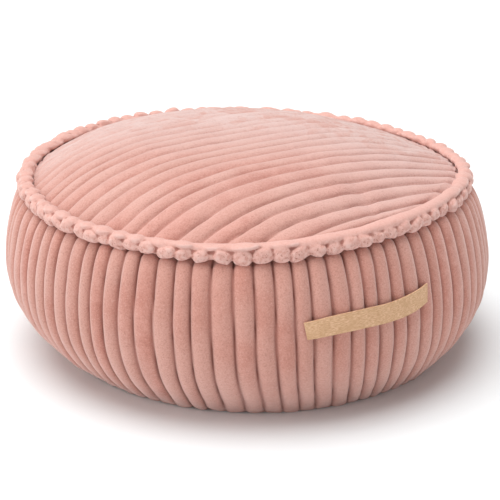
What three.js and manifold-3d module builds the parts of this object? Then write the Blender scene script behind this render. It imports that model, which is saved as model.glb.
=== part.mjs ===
// Round corduroy pouf: a filled drum of wide-wale corduroy with a crowned top, a bulging side that
// is drawn in at the rim and the foot, a standing welt where top and side are sewn together, and a
// flat cotton tape handle on the side.
// Millimetres, +Z up. The origin is on the floor under the middle, and the front faces -Y.

import * as THREE from "three";
import Module from "manifold-3d";

// Filled body, its radii measured to the crests of the wales
const BELLY_RADIUS = 300;
const BELLY_HEIGHT = 103.5;
const FOOT_RADIUS = 240;
const FOOT_CURVE = 1.9; // 1 rolls under as an ellipse, more stands straighter at the floor
const SHOULDER_RADIUS = 262;
const SHOULDER_HEIGHT = 198;
const LOWER_ROWS = 5;
const UPPER_ROWS = 3;

// Crown of the top panel, which meets the welt at the seam
const SEAM_RADIUS = 258;
const SEAM_HEIGHT = 209;
const CROWN_RISE = 48.4;
const CROWN_POWER = 3.6; // 2 is a round dome, more is flatter in the middle and fuller at the seam
const CROWN_TIP = { right: -0.03, back: -0.1 }; // how the rise grows from the middle to the seam
const CROWN_FULLNESS = { right: -0.75, back: -0.58 }; // how its power grows, in the same way
const CROWN_UNDERSIDE = 120; // inside the drum, where the two are one
const CROWN_COLUMNS = 10;
const CROWN_END = 1; // from the last grid line to the outline

// Wales of the cloth
const SIDE_WALES = 86;
const SIDE_WALE_DEPTH = 5;
const TOP_WALE_PITCH = 21.25; // along the cloth
const TOP_WALE_DEPTH = 4.5;
const TOP_WALE_TURN = THREE.MathUtils.degToRad(34.6);
const TOP_WALE_OFFSET = 2; // from the middle of the top to the nearest crest
const WALE_STEPS = 4; // grid lines in one wale
const WALE_UNEVENNESS = 0.06; // how far a groove strays, as a share of a wale
const SIDE_OFFSET = -0.42; // how far round the side wales are turned, in wales
const SLOW_DRIFT = { size: 0.276, phase: 2.21 }; // their spacing drifts once round the pouf
const QUICK_DRIFT = { size: 0.256, phase: 0.14 }; // and five times round it
const FOOT_FAN = 0.9; // how far they fan out at the foot, in wales
const GROOVE_POWER = 5; // narrow grooves between broad crests
const GROOVE_FADE_HEIGHT = 30; // the side's grooves run out towards the foot seam

// Rim welt: two rolled lips about one ring
const WELT_RADIUS = 268.2;
const WELT_HEIGHT = 204.5;
const WELT_CORNERS = 8; // counted from the waist at the outside, over the top and down the inside
const INSIDE_TOP = 3;
const INSIDE_WAIST = 4;
const INSIDE_BOTTOM = 5;
const UNDERSIDE = 6;
const LOWER_LIP = { out: 2, up: -3.6, radius: 8, dip: 3 };
const UPPER_LIP = { out: -1.8, up: 4.2, radius: 7.4, dip: 1.8 };

// Tape handle: turn is the angle from +X in degrees, and the ends are drawn in where they are sewn
const TAPE_SECTIONS = [
  { turn: -77.7, height: 124.8, width: 19 },
  { turn: -71.9, height: 128.7, width: 20.4 },
  { turn: -64.4, height: 130.7, width: 20.6 },
  { turn: -58.3, height: 131.1, width: 20.3 },
  { turn: -53, height: 133.4, width: 20.6 },
  { turn: -47.1, height: 138.3, width: 18.5 },
];
const TAPE_THICKNESS = 2;
const TAPE_STEPS = 24;
const TAPE_ROWS = 4;

// How the filled pouf has settled
const LEAN = 2.9; // the rim to the left and the foot to the right
const FOOT_SHIFT = 7.3; // the foot has spread further to the right
const RIM_DROP = 3.4; // the rim is lower at the right and higher at the left
const RIM_LIFT = 15; // and it is drawn up again at the front right
const RIM_LIFT_TURN = THREE.MathUtils.degToRad(-32);
const RIM_LIFT_REACH = THREE.MathUtils.degToRad(72); // to either side
const RIM_LIFT_HEIGHT = 186; // from here up the whole lift, down to none at the belly
const RIM_LIFT_RADIUS = 250; // from here out the whole lift, less towards the middle
const RIM_LIFT_POWER = 8;

// Colours of the dusty pink corduroy, its paler turned-out pile and the tan tape
const CORDUROY = { color: 0xd8a296, roughness: 0.95, metalness: 0 };
const WELT_CORDUROY = { color: 0xe0b1a7, roughness: 0.95, metalness: 0 };
const TAPE = { color: 0xd4ad7c, roughness: 0.85, metalness: 0 };

const SEWN_GAP = 0.43; // along a radius, which leaves 0.3 between slanted faces
const FRONT = -Math.PI / 2;
const TURN = 2 * Math.PI;
const UPRIGHT = new THREE.Vector3(0, 0, 1);
const SOLVER_PASSES = 30;

const wasm = await Module();
wasm.setup();

// How far a point is drawn up with the rim at the front right
function rimLift(point) {
  const aside = Math.abs(Math.atan2(point.y, point.x) - RIM_LIFT_TURN) / RIM_LIFT_REACH;
  if (aside >= 1) {
    return 0;
  }
  const climb = (point.z - BELLY_HEIGHT) / (RIM_LIFT_HEIGHT - BELLY_HEIGHT);
  const edge = Math.min(1, Math.hypot(point.x, point.y) / RIM_LIFT_RADIUS) ** RIM_LIFT_POWER;
  return RIM_LIFT * Math.cos((aside * Math.PI) / 2) ** 2 * THREE.MathUtils.clamp(climb, 0, 1) ** 2 * edge;
}

// Moves a point of the upright form to where it lies in the settled pouf. The floor stays flat.
function settle(point) {
  const rise = point.z / BELLY_HEIGHT;
  const spread = Math.max(0, 1 - rise) ** 2;
  const tip = (RIM_DROP * point.x) / (BELLY_RADIUS * SHOULDER_HEIGHT);
  const x = point.x - LEAN * (rise - 1) + FOOT_SHIFT * spread;
  return new THREE.Vector3(x, point.y, point.z * (1 - tip) + rimLift(point));
}

function around(angle, radius, height) {
  return new THREE.Vector3(radius * Math.cos(angle), radius * Math.sin(angle), height);
}

// Depth of the groove at a place in a wale, from 1 in the groove (whole numbers) to 0 on the crest
function groove(wale) {
  return Math.abs(Math.cos(Math.PI * wale)) ** GROOVE_POWER;
}

// Angle of a place in the side wales, which are not all of one width and fan out towards the foot
function sideAngle(wale, height) {
  const round = (TURN * wale) / SIDE_WALES;
  const uneven = WALE_UNEVENNESS * (Math.sin(17 * round) + 0.6 * Math.sin(29 * round + 2));
  const slow = SLOW_DRIFT.size * Math.sin(round + SLOW_DRIFT.phase);
  const quick = QUICK_DRIFT.size * Math.sin(5 * round + QUICK_DRIFT.phase);
  const low = Math.max(0, 1 - height / BELLY_HEIGHT) ** 2;
  const stray = SIDE_OFFSET + uneven + slow + quick + FOOT_FAN * low * Math.sin(2 * round);
  return FRONT + (TURN * (wale - 0.5 + stray)) / SIDE_WALES;
}

// Extra cloth that the slope of the crown takes up between the middle and a distance from it
function slopeCloth(distance) {
  const steepness = CROWN_RISE * CROWN_POWER;
  const full = steepness ** 2 / (2 * SEAM_RADIUS * (2 * CROWN_POWER - 1));
  const share = (Math.abs(distance) / SEAM_RADIUS) ** (2 * CROWN_POWER - 1);
  return Math.sign(distance) * full * share;
}

function topStray(wale) {
  return WALE_UNEVENNESS * (Math.sin(1.9 * wale) + 0.7 * Math.sin(0.8 * wale + 1));
}

// Place in the top wales at a distance across the top panel
function topWale(across) {
  const even = (across + slopeCloth(across) - TOP_WALE_OFFSET) / TOP_WALE_PITCH + 0.5;
  let wale = even;
  for (let pass = 0; pass < SOLVER_PASSES; pass += 1) {
    wale = even - topStray(wale);
  }
  return wale;
}

// Distance across the top panel of a place in its wales
function topAcross(wale) {
  const cloth = (wale - 0.5 + topStray(wale)) * TOP_WALE_PITCH + TOP_WALE_OFFSET;
  let across = cloth;
  for (let pass = 0; pass < SOLVER_PASSES; pass += 1) {
    across = (across + cloth - slopeCloth(across)) / 2;
  }
  return across;
}

// Side profile from the foot (0) over the belly (1) to the shoulder (2)
function sideProfile(place) {
  const quarter = (Math.min(place, 2 - place) * Math.PI) / 2;
  if (place <= 1) {
    const bulge = (BELLY_RADIUS - FOOT_RADIUS) * Math.sin(quarter) ** FOOT_CURVE;
    return { radius: FOOT_RADIUS + bulge, height: BELLY_HEIGHT * (1 - Math.cos(quarter)) };
  }
  const bulge = (BELLY_RADIUS - SHOULDER_RADIUS) * Math.sin(quarter);
  const climb = (SHOULDER_HEIGHT - BELLY_HEIGHT) * Math.cos(quarter);
  return { radius: SHOULDER_RADIUS + bulge, height: BELLY_HEIGHT + climb };
}

// Radius of the upper side at a height, on the crests
function shoulderRadius(height) {
  const climb = (height - BELLY_HEIGHT) / (SHOULDER_HEIGHT - BELLY_HEIGHT);
  return SHOULDER_RADIUS + (BELLY_RADIUS - SHOULDER_RADIUS) * Math.sqrt(1 - climb ** 2);
}

// Height of the crown, on the crests. It is fuller towards the front and the left.
function crownHeight(x, y) {
  const right = x / SEAM_RADIUS;
  const back = y / SEAM_RADIUS;
  const rise = CROWN_RISE * (1 + CROWN_TIP.right * right + CROWN_TIP.back * back);
  const power = CROWN_POWER + CROWN_FULLNESS.right * right + CROWN_FULLNESS.back * back;
  return SEAM_HEIGHT + rise * (1 - Math.hypot(right, back) ** power);
}

// Collects the points and faces of one closed body
class Skin {
  constructor() {
    this.points = [];
    this.faces = [];
  }

  add(point) {
    const settled = settle(point);
    this.points.push(settled.x, settled.y, settled.z);
    return this.points.length / 3 - 1;
  }

  addGrid(rows, columns, place) {
    const grid = [];
    for (let row = 0; row < rows; row += 1) {
      grid.push([]);
      for (let column = 0; column < columns; column += 1) {
        grid[row].push(this.add(place(row, column)));
      }
    }
    return grid;
  }

  // Faces between two lines of points. From outside, both run to the right and upper is above.
  strip(lower, upper, closed) {
    const steps = closed ? lower.length : lower.length - 1;
    for (let step = 0; step < steps; step += 1) {
      const next = (step + 1) % lower.length;
      this.faces.push(lower[step], lower[next], upper[next]);
      this.faces.push(lower[step], upper[next], upper[step]);
    }
  }

  // Slab between two grids of one size: place(row, column, outer) gives the points of both
  addSlab(rows, columns, place) {
    const outer = this.addGrid(rows, columns, (row, column) => place(row, column, true));
    const inner = this.addGrid(rows, columns, (row, column) => place(row, column, false));
    for (let row = 1; row < rows; row += 1) {
      this.strip(outer[row - 1], outer[row], false);
      this.strip(inner[row], inner[row - 1], false);
    }
    const edge = (grid) => [
      ...grid[0],
      ...grid.slice(1, -1).map((line) => line.at(-1)),
      ...grid.at(-1).toReversed(),
      ...grid.slice(1, -1).map((line) => line[0]).toReversed(),
    ];
    this.strip(edge(inner), edge(outer), true);
  }

  // Faces from a closed line of points to one point
  fan(line, centre) {
    line.forEach((point, step) => {
      this.faces.push(point, line[(step + 1) % line.length], centre);
    });
  }

  geometry() {
    const geometry = new THREE.BufferGeometry();
    geometry.setAttribute("position", new THREE.Float32BufferAttribute(this.points, 3));
    geometry.setIndex(this.faces);
    return geometry;
  }
}

function toSolid(geometry) {
  const vertProperties = geometry.getAttribute("position").array;
  const triVerts = Uint32Array.from(geometry.getIndex().array);
  return new wasm.Manifold(new wasm.Mesh({ numProp: 3, vertProperties, triVerts }));
}

function toGeometry(solid) {
  const mesh = solid.getMesh();
  const geometry = new THREE.BufferGeometry();
  geometry.setAttribute("position", new THREE.BufferAttribute(mesh.vertProperties, 3));
  geometry.setIndex(new THREE.BufferAttribute(mesh.triVerts, 1));
  return geometry;
}

// Distance from the welt's middle to the outside of its two lips, in a direction of its section
function lipReach(direction, lowerRadius, upperRadius) {
  const reach = (lip, radius) => {
    const ahead = lip.out * Math.cos(direction) + lip.up * Math.sin(direction);
    return ahead + Math.sqrt(radius ** 2 - lip.out ** 2 - lip.up ** 2 + ahead ** 2);
  };
  return Math.max(reach(LOWER_LIP, lowerRadius), reach(UPPER_LIP, upperRadius));
}

// Corner of the welt's section, counted from its waist at the outside over the top
function weltCorner(corner, lowerRadius, upperRadius) {
  const waist = Math.atan2(LOWER_LIP.out - UPPER_LIP.out, UPPER_LIP.up - LOWER_LIP.up);
  const direction = waist + (TURN * corner) / WELT_CORNERS;
  const reach = lipReach(direction, lowerRadius, upperRadius);
  const radius = WELT_RADIUS + reach * Math.cos(direction);
  return { radius, height: WELT_HEIGHT + reach * Math.sin(direction) };
}

// Corner of the seat that the body keeps for the welt
function seatCorner(corner) {
  return weltCorner(corner, LOWER_LIP.radius + SEWN_GAP, UPPER_LIP.radius + SEWN_GAP);
}

// Sections of the drum from the foot to the lid: the side, then the smooth seat under the welt
function drumSections() {
  const sections = [];
  for (let row = 0; row < LOWER_ROWS; row += 1) {
    const section = sideProfile(row / LOWER_ROWS);
    sections.push({ ...section, relief: Math.min(1, section.height / GROOVE_FADE_HEIGHT) });
  }
  const climb = (seatCorner(UNDERSIDE).height - BELLY_HEIGHT) / (SHOULDER_HEIGHT - BELLY_HEIGHT);
  const shoulder = Math.asin(climb) / (Math.PI / 2);
  for (let row = 0; row <= UPPER_ROWS; row += 1) {
    sections.push({ ...sideProfile(1 + (shoulder * row) / UPPER_ROWS), relief: 1 });
  }
  sections.push({ ...seatCorner(INSIDE_BOTTOM), relief: 0 });
  sections.push({ ...seatCorner(INSIDE_WAIST), relief: 0 });
  return sections;
}

// Side band and base: a drum with upright wales, closed by a flat foot and a flat lid
function drumGeometry() {
  const columns = SIDE_WALES * WALE_STEPS;
  const sections = drumSections();
  const skin = new Skin();
  const grid = skin.addGrid(sections.length, columns, (row, column) => {
    const { radius, height, relief } = sections[row];
    const wale = column / WALE_STEPS;
    const depth = SIDE_WALE_DEPTH * relief * groove(wale);
    return around(sideAngle(wale, height), radius - depth, height);
  });
  for (let row = 1; row < sections.length; row += 1) {
    skin.strip(grid[row - 1], grid[row], true);
  }
  skin.fan(grid[0].toReversed(), skin.add(new THREE.Vector3(0, 0, 0)));
  skin.fan(grid.at(-1), skin.add(new THREE.Vector3(0, 0, sections.at(-1).height)));
  return skin.geometry();
}

// Top panel: a crowned disc whose grid lines follow its straight wales, on a flat underside
function crownGeometry() {
  const outline = seatCorner(INSIDE_TOP).radius;
  const last = outline - CROWN_END;
  const reach = Math.ceil(topWale(outline)) * WALE_STEPS;
  const lines = [{ across: -last, relief: 0 }];
  for (let step = -reach; step <= reach; step += 1) {
    const wale = step / WALE_STEPS;
    const across = topAcross(wale);
    if (Math.abs(across) < last - CROWN_END) {
      lines.push({ across, relief: groove(wale) });
    }
  }
  lines.push({ across: last, relief: 0 });
  const skin = new Skin();
  skin.addSlab(lines.length, CROWN_COLUMNS + 1, (row, column, outer) => {
    const { across, relief } = lines[row];
    const half = Math.sqrt(outline ** 2 - across ** 2);
    const along = half * Math.sin((Math.PI / 2) * ((2 * column) / CROWN_COLUMNS - 1));
    const point = new THREE.Vector3(along, across, CROWN_UNDERSIDE);
    point.applyAxisAngle(UPRIGHT, TOP_WALE_TURN);
    if (outer) {
      point.z = crownHeight(point.x, point.y) - TOP_WALE_DEPTH * relief;
    }
    return point;
  });
  return skin.geometry();
}

// Ring of the rim welt. The side wales bead its lower lip, and the top wales cross its upper lip.
function weltGeometry() {
  const columns = SIDE_WALES * WALE_STEPS;
  const skin = new Skin();
  const grid = skin.addGrid(WELT_CORNERS, columns, (corner, column) => {
    const wale = column / WALE_STEPS;
    const angle = sideAngle(wale, WELT_HEIGHT);
    const across = WELT_RADIUS * Math.sin(angle - TOP_WALE_TURN);
    const lower = LOWER_LIP.radius - LOWER_LIP.dip * groove(wale);
    const upper = UPPER_LIP.radius - UPPER_LIP.dip * groove(topWale(across));
    const { radius, height } = weltCorner(corner, lower, upper);
    return around(angle, radius, height);
  });
  grid.forEach((line, corner) => {
    skin.strip(line, grid[(corner + 1) % WELT_CORNERS], true);
  });
  return skin.geometry();
}

// Tape handle: a curved slab on the crests of the side wales
function tapeGeometry() {
  const points = TAPE_SECTIONS.map(({ turn, height, width }) => new THREE.Vector3(turn, height, width));
  const route = new THREE.CatmullRomCurve3(points);
  const skin = new Skin();
  skin.addSlab(TAPE_ROWS + 1, TAPE_STEPS + 1, (row, step, outer) => {
    const { x: turn, y: middle, z: width } = route.getPoint(step / TAPE_STEPS);
    const height = middle + width * (row / TAPE_ROWS - 0.5);
    const lift = SEWN_GAP + (outer ? TAPE_THICKNESS : 0);
    return around(THREE.MathUtils.degToRad(turn), shoulderRadius(height) + lift, height);
  });
  return skin.geometry();
}

function namedMesh(name, geometry, finish) {
  const mesh = new THREE.Mesh(geometry, new THREE.MeshStandardMaterial(finish));
  mesh.name = name;
  return mesh;
}

const body = toSolid(drumGeometry()).add(toSolid(crownGeometry()));

const pouf = new THREE.Group();
pouf.add(namedMesh("pouf_body", toGeometry(body), CORDUROY));
pouf.add(namedMesh("rim_welt", weltGeometry(), WELT_CORDUROY));
pouf.add(namedMesh("handle_strap", tapeGeometry(), TAPE));

export default pouf;
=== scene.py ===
# %% [markdown]
# # A wide-wale corduroy pouf
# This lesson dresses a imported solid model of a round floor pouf. The solids already have the right
# size and place, so every new piece is modelled in the same frame, in metres, with +Z up and the
# front towards -Y. We set up the camera, then make the plush cover with its raised wales, the beaded
# welt round the rim and the cotton tape handle, and at the end the finishes and the light.

# %% Load the frame
import math

import bpy
import numpy as np
from mathutils import Euler, Matrix, Vector, noise


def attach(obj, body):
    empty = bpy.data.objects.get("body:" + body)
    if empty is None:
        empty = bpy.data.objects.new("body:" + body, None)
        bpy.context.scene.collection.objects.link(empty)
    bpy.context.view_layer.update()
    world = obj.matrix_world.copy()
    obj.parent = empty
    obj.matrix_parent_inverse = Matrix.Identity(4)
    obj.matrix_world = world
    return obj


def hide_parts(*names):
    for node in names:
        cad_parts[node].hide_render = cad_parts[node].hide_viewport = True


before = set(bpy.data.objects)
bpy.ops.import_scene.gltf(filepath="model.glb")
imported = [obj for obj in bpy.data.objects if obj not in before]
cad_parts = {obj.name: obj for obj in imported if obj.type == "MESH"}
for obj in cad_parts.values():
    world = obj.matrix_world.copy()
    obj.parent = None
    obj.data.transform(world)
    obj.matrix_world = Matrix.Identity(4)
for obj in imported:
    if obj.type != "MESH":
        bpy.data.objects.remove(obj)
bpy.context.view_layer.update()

# %% [markdown]
# ## The camera
# The camera comes first, because every later choice is judged through it. It stands two metres from
# the pouf, a little above it, and a long lens keeps the drum's sides nearly upright. The angle and
# the lens were found by fitting the pouf's outline, so they are plain named values here.

# %% Camera
CAMERA_DISTANCE = 2.0
CAMERA_ELEVATION = math.radians(21.08)
AIM_HEIGHT = 0.1066
AIM_RIGHT = 0.003
SENSOR_WIDTH = 36.0
FRAME_PIXELS = 500
FOCAL_PIXELS = 1597.0

camera_data = bpy.data.cameras.new("camera")
camera_data.sensor_width = SENSOR_WIDTH
camera_data.lens = FOCAL_PIXELS * SENSOR_WIDTH / FRAME_PIXELS
camera = bpy.data.objects.new("camera", camera_data)
bpy.context.scene.collection.objects.link(camera)
camera.location = (
    AIM_RIGHT,
    -CAMERA_DISTANCE * math.cos(CAMERA_ELEVATION),
    AIM_HEIGHT + CAMERA_DISTANCE * math.sin(CAMERA_ELEVATION),
)
camera.rotation_euler = (math.pi / 2 - CAMERA_ELEVATION, 0, 0)
bpy.context.scene.camera = camera
print("camera lens, mm:", round(camera_data.lens, 1))

# %% [markdown]
# ## Small helpers
# An operator acts on all that is selected, so each step starts by selecting one piece alone. Points
# are moved in blocks with numpy, which is quick and keeps each shape in one formula.

# %% Helpers for selecting and for moving points


def use_only(piece):
    if bpy.context.object and bpy.context.object.mode != "OBJECT":
        bpy.ops.object.mode_set(mode="OBJECT")
    bpy.ops.object.select_all(action="DESELECT")
    piece.select_set(True)
    bpy.context.view_layer.objects.active = piece


def start_piece(name):
    piece = bpy.context.active_object
    piece.name = name
    piece.data.name = name
    return piece


def apply_modifier(piece, modifier):
    use_only(piece)
    bpy.ops.object.modifier_apply(modifier=modifier.name)


def read_points(piece, what="co"):
    values = np.empty(len(piece.data.vertices) * 3, dtype=np.float32)
    piece.data.vertices.foreach_get(what, values)
    return values.reshape(-1, 3).astype(np.float64)


def write_points(piece, points):
    piece.data.vertices.foreach_set("co", points.astype(np.float32).ravel())
    piece.data.update()


def write_values(piece, name, values):
    layer = piece.data.attributes.get(name)
    if layer is None:
        layer = piece.data.attributes.new(name, "FLOAT", "POINT")
    layer.data.foreach_set("value", np.asarray(values, dtype=np.float32))


def read_values(piece, name):
    values = np.empty(len(piece.data.vertices), dtype=np.float32)
    piece.data.attributes[name].data.foreach_get("value", values)
    return values.astype(np.float64)


def triangles(piece):
    return sum(len(face.vertices) - 2 for face in piece.data.polygons)


def smooth_noise(points, size, seed=0.0):
    shift = Vector((seed, 2.3 * seed, -1.7 * seed))
    return np.array([noise.noise(Vector(p) / size + shift) for p in points])


print("helpers ready")

# %% [markdown]
# ## Sizes and the run of the wales
# The pouf is a drum 600 mm across with a crowned top. It leans a little, its foot has spread to the
# right and its rim is drawn up at the front right, so every piece is shaped upright first and then
# settled by one function. The cloth has wales about 21 mm wide: upright on the side band, straight
# across the top panel and turned by 35 degrees. Their spacing drifts round the pouf and fans out at
# the foot, so a few sines make each groove stray. These formulas are the ones that shaped the solids,
# so the dressed pouf and the solids agree wale by wale.

# %% Sizes of the pouf
BELLY_RADIUS, BELLY_HEIGHT = 0.300, 0.1035
FOOT_RADIUS, FOOT_CURVE = 0.240, 1.9
SHOULDER_RADIUS, SHOULDER_HEIGHT = 0.262, 0.198
SEAM_RADIUS, SEAM_HEIGHT = 0.258, 0.209
CROWN_RISE, CROWN_POWER = 0.0484, 3.6
CROWN_TIP_RIGHT, CROWN_TIP_BACK = -0.03, -0.1
CROWN_FULLER_RIGHT, CROWN_FULLER_BACK = -0.75, -0.58
LEAN, FOOT_SHIFT, RIM_DROP = 0.0029, 0.0073, 0.0034
RIM_LIFT, RIM_LIFT_POWER = 0.015, 8
RIM_LIFT_TURN, RIM_LIFT_REACH = math.radians(-32), math.radians(72)
RIM_LIFT_HEIGHT, RIM_LIFT_RADIUS = 0.186, 0.250
FRONT = -math.pi / 2
TURN = 2 * math.pi


def rim_lift(points):
    """How far points are drawn up with the rim at the front right."""
    x, y, z = points.T
    aside = np.minimum(np.abs(np.arctan2(y, x) - RIM_LIFT_TURN) / RIM_LIFT_REACH, 1)
    climb = np.clip((z - BELLY_HEIGHT) / (RIM_LIFT_HEIGHT - BELLY_HEIGHT), 0, 1)
    edge = np.minimum(np.hypot(x, y) / RIM_LIFT_RADIUS, 1) ** RIM_LIFT_POWER
    return RIM_LIFT * np.cos(aside * math.pi / 2) ** 2 * climb**2 * edge


def settle(points):
    """Moves points of the upright form to where they lie in the settled, slightly leaning pouf."""
    x, y, z = points.T
    rise = z / BELLY_HEIGHT
    spread = np.clip(1 - rise, 0, 1) ** 2
    tip = RIM_DROP * x / (BELLY_RADIUS * SHOULDER_HEIGHT)
    lifted = z * (1 - tip) + rim_lift(points)
    return np.column_stack([x - LEAN * (rise - 1) + FOOT_SHIFT * spread, y, lifted])


def side_profile(place):
    """Radius and height from the foot (0) over the belly (1) towards the shoulder (2)."""
    quarter = min(place, 2 - place) * math.pi / 2
    if place <= 1:
        bulge = (BELLY_RADIUS - FOOT_RADIUS) * math.sin(quarter) ** FOOT_CURVE
        return FOOT_RADIUS + bulge, BELLY_HEIGHT * (1 - math.cos(quarter))
    bulge = (BELLY_RADIUS - SHOULDER_RADIUS) * math.sin(quarter)
    return SHOULDER_RADIUS + bulge, BELLY_HEIGHT + (SHOULDER_HEIGHT - BELLY_HEIGHT) * math.cos(quarter)


def crown_height(x, y):
    """Height of the top panel, which is fuller towards the front and the left."""
    right, back = x / SEAM_RADIUS, y / SEAM_RADIUS
    rise = CROWN_RISE * (1 + CROWN_TIP_RIGHT * right + CROWN_TIP_BACK * back)
    power = CROWN_POWER + CROWN_FULLER_RIGHT * right + CROWN_FULLER_BACK * back
    return SEAM_HEIGHT + rise * (1 - np.hypot(right, back) ** power)


print("belly:", side_profile(1), "top:", round(float(crown_height(0, 0)), 4))

# %% The run of the wales
SIDE_WALES = 86
TOP_WALE_PITCH = 0.02125
TOP_WALE_TURN = math.radians(34.6)
TOP_WALE_OFFSET = 0.002
WALE_UNEVENNESS = 0.06
SIDE_OFFSET = -0.42
SLOW_DRIFT, SLOW_PHASE = 0.276, 2.21  # the spacing drifts once round the pouf
QUICK_DRIFT, QUICK_PHASE = 0.256, 0.14  # and five times round it
FOOT_FAN = 0.9
SOLVER_PASSES = 30


def side_stray(wale, height):
    """How far a place in the side wales strays from even spacing, in wales."""
    turn = TURN * wale / SIDE_WALES
    uneven = WALE_UNEVENNESS * (np.sin(17 * turn) + 0.6 * np.sin(29 * turn + 2))
    drift = SLOW_DRIFT * np.sin(turn + SLOW_PHASE) + QUICK_DRIFT * np.sin(5 * turn + QUICK_PHASE)
    low = np.clip(1 - height / BELLY_HEIGHT, 0, 1) ** 2
    return SIDE_OFFSET + uneven + drift + FOOT_FAN * low * np.sin(2 * turn)


def side_angle(wale, height):
    return FRONT + TURN * (wale - 0.5 + side_stray(wale, height)) / SIDE_WALES


def side_wale(angle, height):
    even = SIDE_WALES * (angle - FRONT) / TURN + 0.5
    wale = even
    for _ in range(SOLVER_PASSES):
        wale = even - side_stray(wale, height)
    return wale


def slope_cloth(distance):
    steepness = CROWN_RISE * CROWN_POWER
    full = steepness**2 / (2 * SEAM_RADIUS * (2 * CROWN_POWER - 1))
    return np.sign(distance) * full * (np.abs(distance) / SEAM_RADIUS) ** (2 * CROWN_POWER - 1)


def top_stray(wale):
    return WALE_UNEVENNESS * (np.sin(1.9 * wale) + 0.7 * np.sin(0.8 * wale + 1))


def top_wale(across):
    even = (across + slope_cloth(across) - TOP_WALE_OFFSET) / TOP_WALE_PITCH + 0.5
    wale = even
    for _ in range(SOLVER_PASSES):
        wale = even - top_stray(wale)
    return wale


def top_across(wale):
    cloth = (wale - 0.5 + top_stray(wale)) * TOP_WALE_PITCH + TOP_WALE_OFFSET
    across = cloth
    for _ in range(SOLVER_PASSES):
        across = (across + cloth - slope_cloth(across)) / 2
    return across


print("wales across the top:", round(float(top_wale(SEAM_RADIUS) - top_wale(-SEAM_RADIUS)), 1))

# %% [markdown]
# ## The side band
# On the real pouf this is one long strip of corduroy. It could be a cylinder that is subdivided, but
# extruding a ring up the profile puts a loop exactly where the outline needs one. The ring has six
# points to each wale, so that later every groove and every crest lies on a line of the mesh.

# %% Side band
LINES_PER_WALE = 6
LOWER_ROWS, UPPER_ROWS = 15, 14
SHOULDER_PLACE = 1.8
SEAT_ROWS = [(0.2648, 0.1946), (0.2619, 0.2014)]  # the band turns in under the welt

rows = [side_profile(row / LOWER_ROWS) for row in range(LOWER_ROWS)]
rows += [side_profile(1 + (SHOULDER_PLACE - 1) * row / UPPER_ROWS) for row in range(UPPER_ROWS + 1)]
rows += SEAT_ROWS

bpy.ops.object.select_all(action="DESELECT")
bpy.ops.mesh.primitive_circle_add(vertices=SIDE_WALES * LINES_PER_WALE, radius=rows[0][0])
cover = start_piece("pouf_cover")
bpy.ops.object.mode_set(mode="EDIT")
bpy.ops.mesh.select_all(action="SELECT")
for (radius, height), (next_radius, next_height) in zip(rows, rows[1:]):
    lift = {"value": (0, 0, next_height - height)}
    bpy.ops.mesh.extrude_region_move(TRANSFORM_OT_translate=lift)
    grow = next_radius / radius
    bpy.ops.transform.resize(value=(grow, grow, 1))
bpy.ops.object.mode_set(mode="OBJECT")

points = read_points(cover)
even_angle = np.arctan2(points[:, 1], points[:, 0])
line = np.round((even_angle - FRONT) / TURN * SIDE_WALES * LINES_PER_WALE)
angle = side_angle(line / LINES_PER_WALE, points[:, 2])
radius = np.hypot(points[:, 0], points[:, 1])
write_points(cover, np.column_stack([radius * np.cos(angle), radius * np.sin(angle), points[:, 2]]))
write_values(cover, "side", np.ones(len(points)))
write_values(cover, "top", np.zeros(len(points)))
print("side band:", len(cover.data.polygons), "faces, height", round(points[:, 2].max(), 4))

# %% [markdown]
# ## The top panel
# The top is a round panel whose wales run straight across. A circle filled with rings would cut
# across the wales, so we start from a grid: its rows become the lines of the wales, and each row is
# drawn out to the edge of the round panel and lifted to the crown.

# %% Top panel
TOP_OUTLINE = 0.2587
TOP_EDGE_STEP = 0.001
TOP_COLUMNS = 48

reach = int(math.ceil(top_wale(TOP_OUTLINE))) * LINES_PER_WALE
across_lines = top_across(np.arange(-reach, reach + 1) / LINES_PER_WALE)
across_lines = across_lines[np.abs(across_lines) < TOP_OUTLINE - 2 * TOP_EDGE_STEP]
last = TOP_OUTLINE - TOP_EDGE_STEP
across_lines = np.concatenate([[-last], across_lines, [last]])

bpy.ops.object.select_all(action="DESELECT")
bpy.ops.mesh.primitive_grid_add(
    x_subdivisions=TOP_COLUMNS, y_subdivisions=len(across_lines) - 1, size=2
)
top_panel = start_piece("top_panel")
points = read_points(top_panel)
row = np.round((points[:, 1] + 1) / 2 * (len(across_lines) - 1)).astype(int)
across = across_lines[row]
along = np.sqrt(TOP_OUTLINE**2 - across**2) * np.sin(math.pi / 2 * points[:, 0])
cosine, sine = math.cos(TOP_WALE_TURN), math.sin(TOP_WALE_TURN)
x, y = along * cosine - across * sine, along * sine + across * cosine
height = crown_height(x, y)
write_points(top_panel, np.column_stack([x, y, height]))
write_values(top_panel, "side", np.zeros(len(points)))
write_values(top_panel, "top", np.ones(len(points)))
print("top panel:", len(top_panel.data.polygons), "faces, crown", round(height.max(), 4))

# %% [markdown]
# ## Sewing the panels together
# The two panels are joined, and Bridge Edge Loops closes the seam between them under the welt. It
# could be stitched by merging points, but the two edges have different counts and a bridge takes any.
# The foot stays open until the mesh is finer, so the edges that the last line counts are the foot's.

# %% Sew the panels together
use_only(cover)
top_panel.select_set(True)
bpy.ops.object.join()
bpy.ops.object.mode_set(mode="EDIT")
bpy.ops.mesh.select_mode(type="EDGE")
bpy.ops.mesh.select_all(action="DESELECT")
bpy.ops.mesh.select_non_manifold(extend=False, use_boundary=True, use_wire=False)
bpy.ops.object.mode_set(mode="OBJECT")
heights = read_points(cover)[:, 2]
for edge in cover.data.edges:
    at_rim = heights[edge.vertices[0]] > BELLY_HEIGHT
    edge.select = bool(edge.select and at_rim)
bpy.ops.object.mode_set(mode="EDIT")
bpy.ops.mesh.bridge_edge_loops()
bpy.ops.mesh.select_all(action="SELECT")
bpy.ops.mesh.normals_make_consistent(inside=False)
bpy.ops.object.mode_set(mode="OBJECT")


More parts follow.
